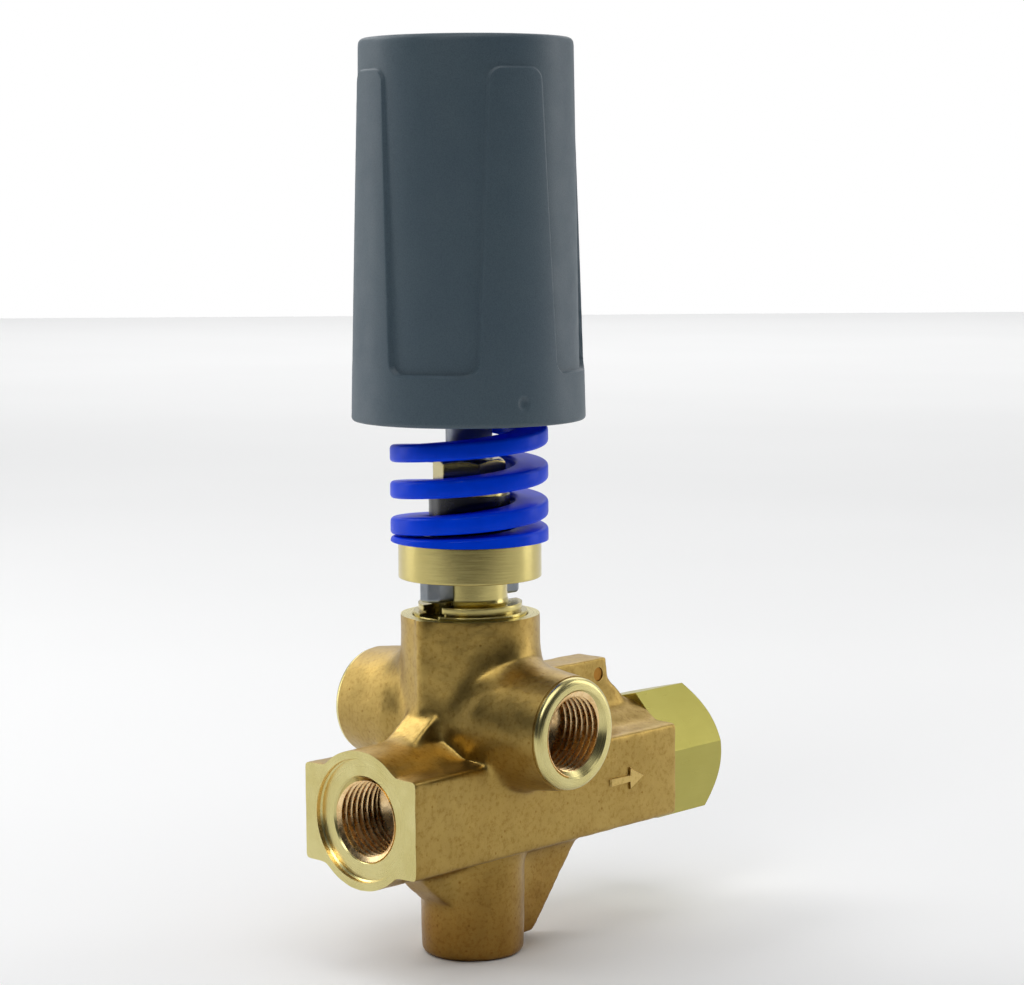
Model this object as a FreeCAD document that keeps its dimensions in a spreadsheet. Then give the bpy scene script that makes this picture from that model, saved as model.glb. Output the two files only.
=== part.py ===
"""Pressure-regulating valve of a pressure washer pump, as separate pieces.

Millimetres.  The origin is the middle of the foot under the valve body, +Z runs up the knob axis,
-X is the inlet side, +X the outlet side, and the bypass ports face -Y and +Y.
"""
import os
import re

import FreeCAD
import Part
import Sketcher

V = FreeCAD.Vector

DIMS = {
    # casting
    "bar_z": 40.5, "body_top": 87.5, "cyl_radius": 17.7, "inlet_face": 39.8, "outlet_face": 58.3,
    "bar_width": 38.8, "bar_height": 24.6, "core_radius": 17.5, "foot_radius": 13.1,
    "foot_top_radius": 13.7, "foot_round": 1.2, "rib_width": 10.0, "web_width": 7.0,
    "port_z": 60.8, "port_reach": 36.2, "port_face_radius": 14.0, "port_root_radius": 16.6,
    "port_root": 16.0, "port_lip": 1.4,
    # female pipe threads, bored to the major radius
    "thread_radius": 10.48, "thread_length": 15.0, "thread_chamfer": 0.5, "recess_radius": 15.4,
    "recess_depth": 1.6, "port_bore_radius": 6.2,
    # galleries
    "gallery_radius": 7.0, "check_pocket": 19.0, "check_face": 25.0, "check_radius": 10.0,
    "check_room_radius": 11.5, "adapter_thread_start": 46.0, "adapter_thread_radius": 14.0,
    "passage_radius": 6.5, "seat_floor": 48.3, "seat_radius": 8.6, "seat_top": 52.3,
    "room_radius": 12.0, "room_top": 64.9, "guide_bore_radius": 11.0, "guide_thread_floor": 76.0,
    "guide_thread_radius": 12.9, "flange_floor": 83.0, "flange_seat_radius": 14.6,
    "pilot_radius": 1.25, "pilot_x": 43.65, "pilot_z": 66.3, "pilot_rise": 3.2,
    "plug_radius": 1.8, "plug_length": 3.0,
    # piston guide
    "guide_bottom": 64.8, "guide_sleeve_radius": 10.95, "guide_shank_radius": 12.85,
    "flange_radius": 14.4, "flange_top": 88.3, "collar_radius": 13.2, "collar_top": 90.4,
    "neck_radius": 9.5, "hex_bottom": 121.0, "guide_top": 127.0, "guide_hex": 9.45,
    "piston_bore": 7.0, "piston_bore_top": 82.6, "rod_bore": 5.05, "stud_bottom": 108.4,
    "stud_bore": 5.95, "key_slot_width": 7.1, "key_slot_bottom": 87.6, "key_slot_top": 104.4,
    "ring_groove_radius": 9.55, "ring_groove_width": 1.6, "lower_ring_z": 66.8,
    "upper_ring_z": 72.2, "annulus_z": 69.5, "annulus_width": 1.8, "annulus_radius": 10.0,
    "pilot_port_radius": 1.0,
    # plunger
    "stroke": 3.0, "rod_end": 60.2, "holder_top": 61.4, "holder_bottom": 54.0,
    "holder_radius": 6.8, "stem_tip_radius": 2.5, "stem_radius": 3.5, "piston_bottom": 72.0,
    "piston_top": 79.0, "piston_radius": 6.93, "piston_groove_radius": 5.2,
    "piston_groove_bottom": 74.0, "piston_groove_top": 77.0, "backup_height": 0.6,
    "rod_radius": 4.97, "rod_top": 91.6, "ball_radius": 5.0, "ball_z": 55.04,
    "seat_bore": 4.2, "key_length": 31.0, "key_width": 7.0, "key_height": 8.8,
    "key_angle": -4.2, "plate_bottom": 96.9, "plate_top": 106.3, "plate_radius": 18.15,
    "bush_radius": 10.3, "bush_bore": 9.57, "bush_bottom": 100.6, "bush_top": 117.9,
    "gland_top": 68.2, "gland_radius": 6.98, "gland_bore": 3.57, "gland_groove_radius": 5.0,
    "gland_groove_width": 1.6, "gland_ring_z": 66.5,
    # main spring
    "spring_outer": 20.0, "spring_inner": 11.5, "spring_wire": 4.5, "spring_top": 182.3,
    "spring_end_pitch": 4.72, "spring_turns": 7.5, "spring_start": 132.0,
    "spring_first": 105.25,
    # adjuster
    "stud_radius": 5.9, "stud_top": 211.4, "upper_plate_top": 188.3, "upper_plate_radius": 19.0,
    "upper_hub_bottom": 176.3, "upper_hub_radius": 11.2, "upper_bore": 6.2,
    "washer_top": 190.3, "washer_radius": 13.0, "insert_flange_top": 193.3,
    "insert_flange_radius": 14.0, "insert_top": 203.3, "insert_radius": 11.9,
    "stop_nut_bottom": 203.6, "stop_nut_top": 210.6, "stop_nut_hex": 10.39,
    # knob
    "knob_bottom": 136.8, "knob_top": 231.6, "knob_bottom_radius": 29.5, "knob_top_radius": 27.25,
    "knob_wall": 2.4, "knob_roof": 4.0, "hub_radius": 14.6, "hub_bore": 11.2, "cap_floor": 229.4,
    "land_top": 223.5, "panel_bottom": 149.4, "panel_foot_radius": 27.9,
    "panel_crown_radius": 26.8, "panel_half_top": 13.9,
    "panel_half_bottom": 10.8, "panel_angle": 25.6, "panel_corner": 3.0, "knob_rim": 1.4,
    "knob_rib_width": 1.8,
    # outlet side
    "adapter_start": 46.3, "adapter_shank_radius": 13.95, "adapter_hex_radius": 19.63,
    "adapter_end": 81.2, "adapter_face_radius": 16.4, "adapter_turn": 13.8,
    "adapter_bore": 8.0, "adapter_pocket_radius": 10.5, "adapter_pocket": 52.0,
    "adapter_relief_radius": 12.4, "adapter_relief_end": 49.2, "adapter_ring_x": 47.75,
    "adapter_ring_wire": 0.78, "check_seat_bore": 6.5, "check_stroke": 4.0,
    "poppet_radius": 8.6, "poppet_back": 29.5, "poppet_stem": 2.5, "poppet_tip": 50.0,
    "seal_inner": 5.4, "seal_outer": 8.0, "seal_depth": 1.5, "spider_start": 47.6,
    "spider_radius": 10.45, "spider_rim": 9.0, "spider_hub": 4.0, "spider_bore": 2.56,
    "check_spring_radius": 5.2, "check_spring_wire": 0.6,
}

doc = FreeCAD.newDocument("valve")
sheet = doc.addObject("Spreadsheet::Sheet", "Dims")
for row, (alias, value) in enumerate(DIMS.items(), start=1):
    sheet.set(f"A{row}", alias)
    sheet.set(f"B{row}", str(value))
    sheet.setAlias(f"B{row}", alias)
doc.recompute()

NODES = []
GROUND = FreeCAD.Rotation()
ALONG_X = FreeCAD.Rotation(V(0, 1, 0), 90)
ALONG_MINUS_X = FreeCAD.Rotation(V(0, 1, 0), -90)
ALONG_Y = FreeCAD.Rotation(V(1, 0, 0), -90)
ALONG_MINUS_Y = FreeCAD.Rotation(V(1, 0, 0), 90)


def ex(text):
    """Turn the names of the sheet in a formula into references to its cells."""
    return re.sub(r"[a-z][a-z_]*", lambda m: f"Dims.{m[0]}" if m[0] in DIMS else m[0], str(text))


def bind(obj, **formulas):
    for prop, text in formulas.items():
        obj.setExpression(prop, ex(text))


def place(obj, position=("0", "0", "0"), rotation=GROUND):
    obj.Placement = FreeCAD.Placement(V(0, 0, 0), rotation)
    for axis, text in zip("xyz", position):
        if text != "0":
            obj.setExpression(f"Placement.Base.{axis}", ex(text))


def keep(obj, node):
    """Name the finished piece after its node and queue it for export."""
    obj.Label = node
    NODES.append(obj)
    return obj


def cylinder(name, radius, length, position=("0", "0", "0"), rotation=GROUND):
    obj = doc.addObject("Part::Cylinder", name)
    bind(obj, Radius=radius, Height=length)
    place(obj, position, rotation)
    return obj


def cone(name, first, second, length, position=("0", "0", "0"), rotation=GROUND):
    obj = doc.addObject("Part::Cone", name)
    bind(obj, Radius1=first, Radius2=second, Height=length)
    place(obj, position, rotation)
    return obj


def box(name, size, position, rotation=GROUND):
    obj = doc.addObject("Part::Box", name)
    bind(obj, Length=size[0], Width=size[1], Height=size[2])
    place(obj, position, rotation)
    return obj


def torus(name, major, minor, position, rotation=GROUND):
    obj = doc.addObject("Part::Torus", name)
    bind(obj, Radius1=major, Radius2=minor)
    place(obj, position, rotation)
    return obj


def hexagon(name, circumradius, length, position, rotation=GROUND):
    obj = doc.addObject("Part::Prism", name)
    obj.Polygon = 6
    bind(obj, Circumradius=circumradius, Height=length)
    place(obj, position, rotation)
    return obj


def fuse(name, *shapes):
    obj = doc.addObject("Part::MultiFuse", name)
    obj.Shapes = list(shapes)
    return obj


def cut(name, base, *tools):
    tool = tools[0] if len(tools) == 1 else fuse(f"{name}_tools", *tools)
    obj = doc.addObject("Part::Cut", name)
    obj.Base = base
    obj.Tool = tool
    return obj


def common(name, first, second):
    obj = doc.addObject("Part::MultiCommon", name)
    obj.Shapes = [first, second]
    return obj


def plane_of(body, role):
    return next(f for f in body.Origin.OriginFeatures if f.Role == role)


def profile_sketch(body, name, points, role="XZ_Plane"):
    """Closed polyline sketch, every corner dimensioned from the origin by the sheet."""
    sketch = body.newObject("Sketcher::SketchObject", name)
    sketch.AttachmentSupport = [(plane_of(body, role), "")]
    sketch.MapMode = "FlatFace"
    values = [tuple(number(c) for c in point) for point in points]
    count = len(points)
    for i in range(count):
        start = V(*values[i], 0)
        end = V(*values[(i + 1) % count], 0)
        sketch.addGeometry(Part.LineSegment(start, end), False)
    for i in range(count):
        sketch.addConstraint(Sketcher.Constraint("Coincident", i, 2, (i + 1) % count, 1))
    for i, (point, value) in enumerate(zip(points, values)):
        for kind, text, size, axis in (("X", point[0], value[0], -2), ("Y", point[1], value[1], -1)):
            if abs(size) < 1e-9:
                sketch.addConstraint(Sketcher.Constraint("PointOnObject", i, 1, axis))
                continue
            index = sketch.addConstraint(Sketcher.Constraint(f"Distance{kind}", -1, 1, i, 1, size))
            sketch.setExpression(f"Constraints[{index}]", ex(text))
    return sketch


def number(text):
    """Present value of a formula, used only to draw a sketch corner near its place."""
    value = sheet.evalExpression(ex(text))
    return float(getattr(value, "Value", value))


def turned(name, points, position=("0", "0", "0"), rotation=GROUND):
    """Solid of revolution about its own Z, from (radius, height) corners."""
    body = doc.addObject("PartDesign::Body", name)
    sketch = profile_sketch(body, f"{name}_profile", points)
    turn = body.newObject("PartDesign::Revolution", f"{name}_turn")
    turn.Profile = sketch
    turn.ReferenceAxis = (sketch, ["V_Axis"])
    turn.Angle = 360
    place(body, position, rotation)
    doc.recompute()
    return body


def slab(name, points, width):
    """Flat plate in the XZ plane, centred on Y, from (x, z) corners."""
    body = doc.addObject("PartDesign::Body", name)
    sketch = profile_sketch(body, f"{name}_outline", points)
    pad = body.newObject("PartDesign::Pad", f"{name}_pad")
    pad.Profile = sketch
    pad.Midplane = True
    bind(pad, Length=width)
    doc.recompute()
    return body


def ring(name, inner, outer, low, high):
    return turned(name, [(inner, low), (outer, low), (outer, high), (inner, high)])


def prism(name, points, low, high, angle=0.0):
    """Upright block from a plan outline, turned about Z."""
    body = doc.addObject("PartDesign::Body", name)
    sketch = profile_sketch(body, f"{name}_plan", points, "XY_Plane")
    pad = body.newObject("PartDesign::Pad", f"{name}_pad")
    pad.Profile = sketch
    bind(pad, Length=f"({high}) - ({low})")
    place(body, ("0", "0", low), FreeCAD.Rotation(V(0, 0, 1), angle))
    doc.recompute()
    return body


def rectangle(half_x, half_y):
    return [(f"-({half_x})", f"-({half_y})"), (half_x, f"-({half_y})"),
            (half_x, half_y), (f"-({half_x})", half_y)]


def round_edges(body, name, radius, found):
    """Fillet the edges of a body that pass the test."""
    tip = body.Tip
    names = [f"Edge{i}" for i, e in enumerate(tip.Shape.Edges, start=1) if found(e)]
    fillet = body.newObject("PartDesign::Fillet", name)
    fillet.Base = (tip, names)
    bind(fillet, Radius=radius)
    doc.recompute()
    return fillet


def circle_at(radius, z):
    def found(edge):
        curve = edge.Curve
        return (isinstance(curve, Part.Circle) and abs(curve.Radius - radius) < 1e-3
                and abs(curve.Center.z - z) < 1e-3)
    return found


def group(name, *solids):
    obj = doc.addObject("Part::Compound", name)
    obj.Links = list(solids)
    return obj


# ---------------------------------------------------------------- valve body
foot = turned("foot", [("0", "0"), ("foot_radius", "0"), ("foot_top_radius", "bar_z"), ("0", "bar_z")])
round_edges(foot, "foot_edge", "foot_round", circle_at(DIMS["foot_radius"], 0))

barrel = cylinder("barrel", "cyl_radius", "body_top - bar_z", ("0", "0", "bar_z"))
bar = prism("bar", [("-inlet_face", "-bar_width / 2"), ("outlet_face", "-bar_width / 2"),
                    ("outlet_face", "bar_width / 2"), ("-inlet_face", "bar_width / 2")],
            "bar_z - bar_height / 2", "bar_z + bar_height / 2")
round_edges(bar, "bar_edges", "1.2", lambda e: abs(e.tangentAt(e.FirstParameter).x) > 0.99)
core = cylinder("core", "core_radius", "inlet_face + outlet_face",
                ("-inlet_face", "0", "bar_z"), ALONG_X)

bosses = []
for side, turn in (("front", ALONG_MINUS_Y), ("back", ALONG_Y)):
    bosses.append(turned(f"{side}_boss", [
        ("0", "0"), ("port_root_radius", "0"), ("port_root_radius", "port_root"),
        ("port_face_radius + 0.1", "port_reach - port_lip"),
        ("port_face_radius - port_lip * 0.3", "port_reach - port_lip * 0.3"),
        ("port_face_radius - port_lip", "port_reach"), ("0", "port_reach")],
        ("0", "0", "port_z"), turn))

inlet_rib = slab("inlet_rib", [("-26", "bar_z + 10"), ("-10", "bar_z + 10"), ("-10", "66.3"),
                               ("-15.3", "65.9"), ("-26", "57.9")], "rib_width")
pilot_rib = slab("pilot_rib", [("10", "bar_z + 8"), ("56.5", "bar_z + 8"), ("56.5", "56.8"),
                               ("52.6", "60.5"), ("47.9", "65.0"), ("47.2", "70.5"),
                               ("23", "70.5"), ("20.8", "76.5"), ("10", "76.5")], "rib_width")
foot_web = slab("foot_web", [("8", "1.4"), ("19.4", "1.4"), ("37.6", "24.0"), ("37.6", "30.0"),
                             ("8", "30.0")], "web_width")
foot_gusset = slab("foot_gusset", [("-24", "24"), ("-18.5", "18.6"), ("-12", "13.5"), ("-6", "13.5"),
                                   ("-6", "30"), ("-24", "30")], "rib_width")
casting = fuse("casting", foot, barrel, bar, core, *bosses, inlet_rib, pilot_rib, foot_web,
               foot_gusset)

FROM_INLET = "inlet_face + "
THREAD_END = "recess_depth + thread_length"
bar_bore = turned("bar_bore", [
    ("0", "-1"), ("recess_radius", "-1"), ("recess_radius", "recess_depth"),
    ("thread_radius + thread_chamfer", "recess_depth"),
    ("thread_radius", "recess_depth + thread_chamfer"), ("thread_radius", THREAD_END),
    ("gallery_radius", THREAD_END + " + 2"), ("gallery_radius", FROM_INLET + "check_pocket"),
    ("check_radius", FROM_INLET + "check_pocket"), ("check_radius", FROM_INLET + "check_face"),
    ("check_room_radius", FROM_INLET + "check_face"),
    ("check_room_radius", FROM_INLET + "adapter_thread_start"),
    ("adapter_thread_radius", FROM_INLET + "adapter_thread_start"),
    ("adapter_thread_radius", FROM_INLET + "outlet_face + 1"),
    ("0", FROM_INLET + "outlet_face + 1")], ("-inlet_face", "0", "bar_z"), ALONG_X)
upright_bore = turned("upright_bore", [
    ("0", "bar_z"), ("passage_radius", "bar_z"), ("passage_radius", "seat_floor"),
    ("seat_radius", "seat_floor"), ("seat_radius", "seat_top"), ("room_radius", "seat_top"),
    ("room_radius", "room_top"), ("guide_bore_radius", "room_top"),
    ("guide_bore_radius", "guide_thread_floor"), ("guide_thread_radius", "guide_thread_floor"),
    ("guide_thread_radius", "flange_floor"), ("flange_seat_radius", "flange_floor"),
    ("flange_seat_radius", "body_top + 1"), ("0", "body_top + 1")])
FAR = "2 * port_reach - "
port_bore = turned("port_bore", [
    ("0", "0"), ("thread_radius + thread_chamfer", "0"), ("thread_radius", "thread_chamfer"),
    ("thread_radius", "thread_length"), ("port_bore_radius", "thread_length + 2.5"),
    ("port_bore_radius", FAR + "thread_length - 2.5"), ("thread_radius", FAR + "thread_length"),
    ("thread_radius", FAR + "thread_chamfer"), ("thread_radius + thread_chamfer", FAR + "0"),
    ("0", FAR + "0")], ("0", "-port_reach", "port_z"), ALONG_Y)

PILOT_SLOPE = DIMS["pilot_rise"] / (DIMS["pilot_x"] - DIMS["guide_bore_radius"])
pilot_way = FreeCAD.Rotation(V(0, 0, 1), V(-1, 0, PILOT_SLOPE))
pilot_tools = [
    cylinder("pilot_riser", "pilot_radius", "pilot_z - bar_z", ("pilot_x", "0", "bar_z")),
    cylinder("pilot_gallery", "pilot_radius", "pilot_x - guide_bore_radius + 8",
             ("pilot_x + 7", "0", "pilot_z - 7 * pilot_rise / (pilot_x - guide_bore_radius)"),
             pilot_way),
    cylinder("pilot_cross", "pilot_radius", "rib_width / 2",
             ("pilot_x", "-rib_width / 2", "pilot_z"), ALONG_Y),
    cylinder("cross_plug_hole", "plug_radius", "plug_length + 1",
             ("pilot_x", "-rib_width / 2 - 1", "pilot_z"), ALONG_Y),
    cylinder("end_plug_hole", "plug_radius", "plug_length + 4",
             ("pilot_x + 7.7", "0", "pilot_z - 7.7 * pilot_rise / (pilot_x - guide_bore_radius)"),
             pilot_way),
]
machined = casting
for i, tool in enumerate([bar_bore, upright_bore, port_bore, *pilot_tools]):
    machined = cut(f"machining_{i}", machined, tool)
keep(machined, "valve_body")

cross_plug = cylinder("cross_plug", "plug_radius", "plug_length - 0.3",
                      ("pilot_x", "-rib_width / 2 + 0.3", "pilot_z"), ALONG_Y)
end_plug = cylinder("end_plug", "plug_radius", "plug_length - 0.4",
                    ("pilot_x + 3.4", "0",
                     "pilot_z - 3.4 * pilot_rise / (pilot_x - guide_bore_radius)"), pilot_way)
keep(group("plug_pair", cross_plug, end_plug), "pilot_plugs")

# ---------------------------------------------------------------- piston guide
LOWER = ("lower_ring_z - ring_groove_width / 2", "lower_ring_z + ring_groove_width / 2")
UPPER = ("upper_ring_z - ring_groove_width / 2", "upper_ring_z + ring_groove_width / 2")
MIDDLE = ("annulus_z - annulus_width / 2", "annulus_z + annulus_width / 2")
outline = [("piston_bore", "guide_bottom"), ("guide_sleeve_radius", "guide_bottom")]
for (low, high), depth in ((LOWER, "ring_groove_radius"), (MIDDLE, "annulus_radius"),
                           (UPPER, "ring_groove_radius")):
    outline += [("guide_sleeve_radius", low), (depth, low), (depth, high),
                ("guide_sleeve_radius", high)]
outline += [
    ("guide_sleeve_radius", "guide_thread_floor + 0.3"),
    ("guide_shank_radius", "guide_thread_floor + 0.3"), ("guide_shank_radius", "flange_floor"),
    ("flange_radius", "flange_floor"), ("flange_radius", "flange_top"),
    ("collar_radius - 0.8", "flange_top"), ("collar_radius - 0.8", "flange_top + 0.6"),
    ("collar_radius", "flange_top + 0.6"), ("collar_radius", "collar_top"),
    ("neck_radius + 1.1", "collar_top"), ("neck_radius + 0.35", "collar_top + 0.35"),
    ("neck_radius", "collar_top + 1.2"), ("neck_radius", "guide_top - 0.9"),
    ("neck_radius - 1.6", "guide_top"), ("stud_bore", "guide_top"), ("stud_bore", "stud_bottom"),
    ("rod_bore", "stud_bottom"), ("rod_bore", "piston_bore_top"),
    ("piston_bore", "piston_bore_top"),
]
guide_blank = turned("guide_blank", outline)
guide_envelope = fuse("guide_envelope",
                      cylinder("below_hex", "flange_radius + 2", "hex_bottom - guide_bottom",
                               ("0", "0", "guide_bottom")),
                      hexagon("guide_hexagon", "guide_hex", "guide_top - hex_bottom + 1",
                              ("0", "0", "hex_bottom")))
guide_shaped = common("guide_shaped", guide_blank, guide_envelope)
key_slot = prism("key_slot", rectangle("15", "key_slot_width / 2"), "key_slot_bottom",
                 "key_slot_top", DIMS["key_angle"])
pilot_ports = [
    cylinder("pilot_port_x", "pilot_port_radius", "24", ("-12", "0", "annulus_z"), ALONG_X),
    cylinder("pilot_port_y", "pilot_port_radius", "24", ("0", "-12", "annulus_z"), ALONG_Y),
]
keep(cut("guide_cut", guide_shaped, key_slot, *pilot_ports), "piston_guide")

RING = ("0", "0")
keep(group("guide_ring_pair",
           torus("lower_guide_ring", "ring_groove_radius + 0.725", "0.71", (*RING, "lower_ring_z")),
           torus("upper_guide_ring", "ring_groove_radius + 0.725", "0.71", (*RING, "upper_ring_z"))),
     "guide_o_rings")

GLAND = ("gland_ring_z - gland_groove_width / 2", "gland_ring_z + gland_groove_width / 2")
keep(turned("gland", [("gland_bore", "guide_bottom"), ("gland_radius", "guide_bottom"),
                      ("gland_radius", "gland_top"), ("gland_bore", "gland_top"),
                      ("gland_bore", GLAND[1]), ("gland_groove_radius", GLAND[1]),
                      ("gland_groove_radius", GLAND[0]), ("gland_bore", GLAND[0])]), "stem_gland")
keep(torus("stem_ring", "(gland_bore + gland_groove_radius) / 2",
           "(gland_groove_radius - gland_bore) / 2 - 0.01", (*RING, "gland_ring_z")), "stem_o_ring")

# ---------------------------------------------------------------- bypass seat and ball
keep(turned("seat_ring", [("seat_bore", "seat_floor"), ("seat_radius - 0.02", "seat_floor"),
                          ("seat_radius - 0.02", "seat_floor + 1.2"), ("7.3", "seat_floor + 1.2"),
                          ("7.3", "seat_floor + 2.8"), ("seat_radius - 0.02", "seat_floor + 2.8"),
                          ("seat_radius - 0.02", "seat_top"), ("seat_bore", "seat_top")]),
     "bypass_seat")
keep(torus("seat_seal", "7.95", "0.63", (*RING, "seat_floor + 2")), "bypass_seat_o_ring")

ball = doc.addObject("Part::Sphere", "ball")
bind(ball, Radius="ball_radius")
place(ball, (*RING, "ball_z"))
keep(ball, "bypass_ball")

ball_room = doc.addObject("Part::Sphere", "ball_room")
bind(ball_room, Radius="ball_radius + 0.03")
place(ball_room, (*RING, "ball_z"))
holder_blank = turned("holder_blank", [("0", "holder_bottom"), ("holder_radius - 0.8", "holder_bottom"),
                                       ("holder_radius", "holder_bottom + 1.2"),
                                       ("holder_radius", "holder_top - 0.5"),
                                       ("holder_radius - 0.5", "holder_top"), ("0", "holder_top")])
tip_hole = cylinder("tip_hole", "stem_tip_radius + 0.01", "4", (*RING, "holder_top - 2"))
keep(cut("holder_cut", holder_blank, ball_room, tip_hole), "ball_holder")

# ---------------------------------------------------------------- plunger
keep(turned("rod", [("0", "rod_end"), ("stem_tip_radius", "rod_end"), ("stem_tip_radius", "holder_top"),
                    ("stem_radius", "holder_top"), ("stem_radius", "piston_bottom"),
                    ("piston_radius", "piston_bottom"), ("piston_radius", "piston_groove_bottom"),
                    ("piston_groove_radius", "piston_groove_bottom"),
                    ("piston_groove_radius", "piston_groove_top"),
                    ("piston_radius", "piston_groove_top"), ("piston_radius", "piston_top"),
                    ("rod_radius", "piston_top"), ("rod_radius", "rod_top"), ("0", "rod_top")]),
     "piston_rod")
GROOVE_MIDDLE = "(piston_groove_bottom + piston_groove_top) / 2"
keep(torus("piston_seal", "6.09", "0.88", (*RING, GROOVE_MIDDLE)), "piston_o_ring")
keep(group("backup_pair",
           ring("lower_backup", "piston_groove_radius", "piston_radius + 0.03",
                "piston_groove_bottom", "piston_groove_bottom + backup_height"),
           ring("upper_backup", "piston_groove_radius", "piston_radius + 0.03",
                "piston_groove_top - backup_height", "piston_groove_top")),
     "piston_backup_rings")

KEY_PLAN = [("-key_length / 2", "-key_width / 2 + 2"), ("-key_length / 2 + 2", "-key_width / 2"),
            ("key_length / 2 - 2", "-key_width / 2"), ("key_length / 2", "-key_width / 2 + 2"),
            ("key_length / 2", "key_width / 2 - 2"), ("key_length / 2 - 2", "key_width / 2"),
            ("-key_length / 2 + 2", "key_width / 2"), ("-key_length / 2", "key_width / 2 - 2")]
key = prism("key", KEY_PLAN, "rod_top", "rod_top + key_height", DIMS["key_angle"])
round_edges(key, "key_edges", "1.0", lambda e: e.CenterOfMass.z < DIMS["rod_top"] + 0.01)
keep(key, "cross_key")

plate_blank = ring("plate_blank", "bush_radius", "plate_radius", "plate_bottom", "plate_top")
rims = round_edges(plate_blank, "plate_rims", "0.35",
                   lambda e: isinstance(e.Curve, Part.Circle) and e.Curve.Radius > 18)
key_pocket = prism("key_pocket", rectangle("key_length / 2 + 0.2", "key_width / 2 + 0.05"),
                   "plate_bottom - 1", "rod_top + key_height", DIMS["key_angle"])
keep(cut("plate_cut", plate_blank, key_pocket), "lower_spring_plate")
keep(ring("bush", "bush_bore", "bush_radius", "bush_bottom", "bush_top"), "guide_bush")


# ---------------------------------------------------------------- springs
def helix(body, name, profile, pitch, turns):
    coil = body.newObject("PartDesign::AdditiveHelix", name)
    coil.Profile = profile
    coil.ReferenceAxis = (profile, ["V_Axis"])
    coil.Mode = "pitch-turns-angle"
    bind(coil, Pitch=pitch, Turns=turns)
    doc.recompute()
    return coil


def wire_section(body, name, centre_z, side=""):
    half = "spring_wire / 2"
    low, high = f"{centre_z} - {half}", f"{centre_z} + {half}"
    return profile_sketch(body, name, [(f"{side}spring_inner", low), (f"{side}spring_outer", low),
                                       (f"{side}spring_outer", high), (f"{side}spring_inner", high)])


ACTIVE_PITCH = "((spring_top - spring_wire / 2 - 1.4 - spring_first - spring_end_pitch) / spring_turns)"
spring = doc.addObject("PartDesign::Body", "spring")
first = wire_section(spring, "first_section", "spring_first")
helix(spring, "closed_bottom", first, "spring_end_pitch", "1")
second = wire_section(spring, "second_section", "spring_first + spring_end_pitch")
helix(spring, "active_coils", second, ACTIVE_PITCH, "spring_turns")
third = wire_section(spring, "third_section", "spring_top - spring_wire / 2 - 1.4", "-")
helix(spring, "closed_top", third, "spring_end_pitch", "1")
place(spring, rotation=FreeCAD.Rotation(V(0, 0, 1), DIMS["spring_start"]))
ground = cylinder("ground_ends", "spring_outer + 1", "spring_top - plate_top", (*RING, "plate_top"))
keep(common("spring_ground", spring, ground), "main_spring")

# ---------------------------------------------------------------- adjuster
keep(turned("stud", [("0", "stud_bottom"), ("stud_radius - 1", "stud_bottom"),
                     ("stud_radius", "stud_bottom + 1"), ("stud_radius", "stud_top - 1"),
                     ("stud_radius - 1", "stud_top"), ("0", "stud_top")]), "adjusting_stud")
keep(turned("upper_plate", [("upper_bore", "upper_hub_bottom"), ("upper_hub_radius", "upper_hub_bottom"),
                            ("upper_hub_radius", "spring_top"), ("upper_plate_radius", "spring_top"),
                            ("upper_plate_radius", "upper_plate_top"),
                            ("upper_bore", "upper_plate_top")]), "upper_spring_plate")
keep(ring("washer", "upper_bore", "washer_radius", "upper_plate_top", "washer_top"), "thrust_washer")
keep(turned("insert", [("stud_bore", "washer_top"), ("insert_flange_radius", "washer_top"),
                       ("insert_flange_radius", "insert_flange_top"),
                       ("insert_radius", "insert_flange_top"), ("insert_radius", "insert_top"),
                       ("stud_bore", "insert_top")]), "knob_insert")
nut_blank = hexagon("nut_blank", "stop_nut_hex", "stop_nut_top - stop_nut_bottom",
                    (*RING, "stop_nut_bottom"))
keep(cut("nut_cut", nut_blank, cylinder("nut_bore", "stud_radius", "12",
                                        (*RING, "stop_nut_bottom - 2"))), "stop_nut")

# ---------------------------------------------------------------- knob
knob_blank = turned("knob_blank", [
    ("knob_bottom_radius - knob_wall", "knob_bottom"), ("knob_bottom_radius - 0.5", "knob_bottom"),
    ("knob_bottom_radius", "knob_bottom + 0.5"), ("knob_top_radius", "knob_top"),
    ("hub_bore", "knob_top"), ("hub_bore", "insert_top"), ("insert_radius", "insert_top"),
    ("insert_radius", "insert_flange_top"), ("hub_radius", "insert_flange_top"),
    ("hub_radius", "knob_top - knob_roof"),
    ("knob_top_radius - knob_wall - 0.4", "knob_top - knob_roof")])
panel_ring = turned("panel_ring", [
    ("panel_foot_radius + 0.04", "panel_bottom - 2"), ("45", "panel_bottom - 2"),
    ("45", "knob_top + 1"), ("panel_crown_radius - knob_rim", "knob_top + 1"),
    ("panel_crown_radius - knob_rim", "knob_top"),
    ("panel_crown_radius - knob_rim * 0.3", "knob_top - knob_rim * 0.3"),
    ("panel_crown_radius", "knob_top - knob_rim")])
right = [("panel_half_bottom - panel_corner", "panel_bottom"),
         ("panel_half_bottom - panel_corner * 0.3", "panel_bottom + panel_corner * 0.3"),
         ("panel_half_bottom", "panel_bottom + panel_corner"),
         ("panel_half_top", "land_top - panel_corner"),
         ("panel_half_top + panel_corner * 0.3", "land_top - panel_corner * 0.3"),
         ("panel_half_top + panel_corner", "land_top"),
         ("panel_half_top + panel_corner", "land_top + 1")]
left = [(f"-({x})", z) for x, z in reversed(right)]
windows = []
for turn in (0, 90):
    window = slab(f"panel_window_{turn}", right + left, "80")
    window.Placement = FreeCAD.Placement(V(0, 0, 0), FreeCAD.Rotation(V(0, 0, 1),
                                                                      DIMS["panel_angle"] + turn))
    windows.append(window)
above_lands = cylinder("above_lands", "50", "knob_top - land_top + 2", ("0", "0", "land_top"))
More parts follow.
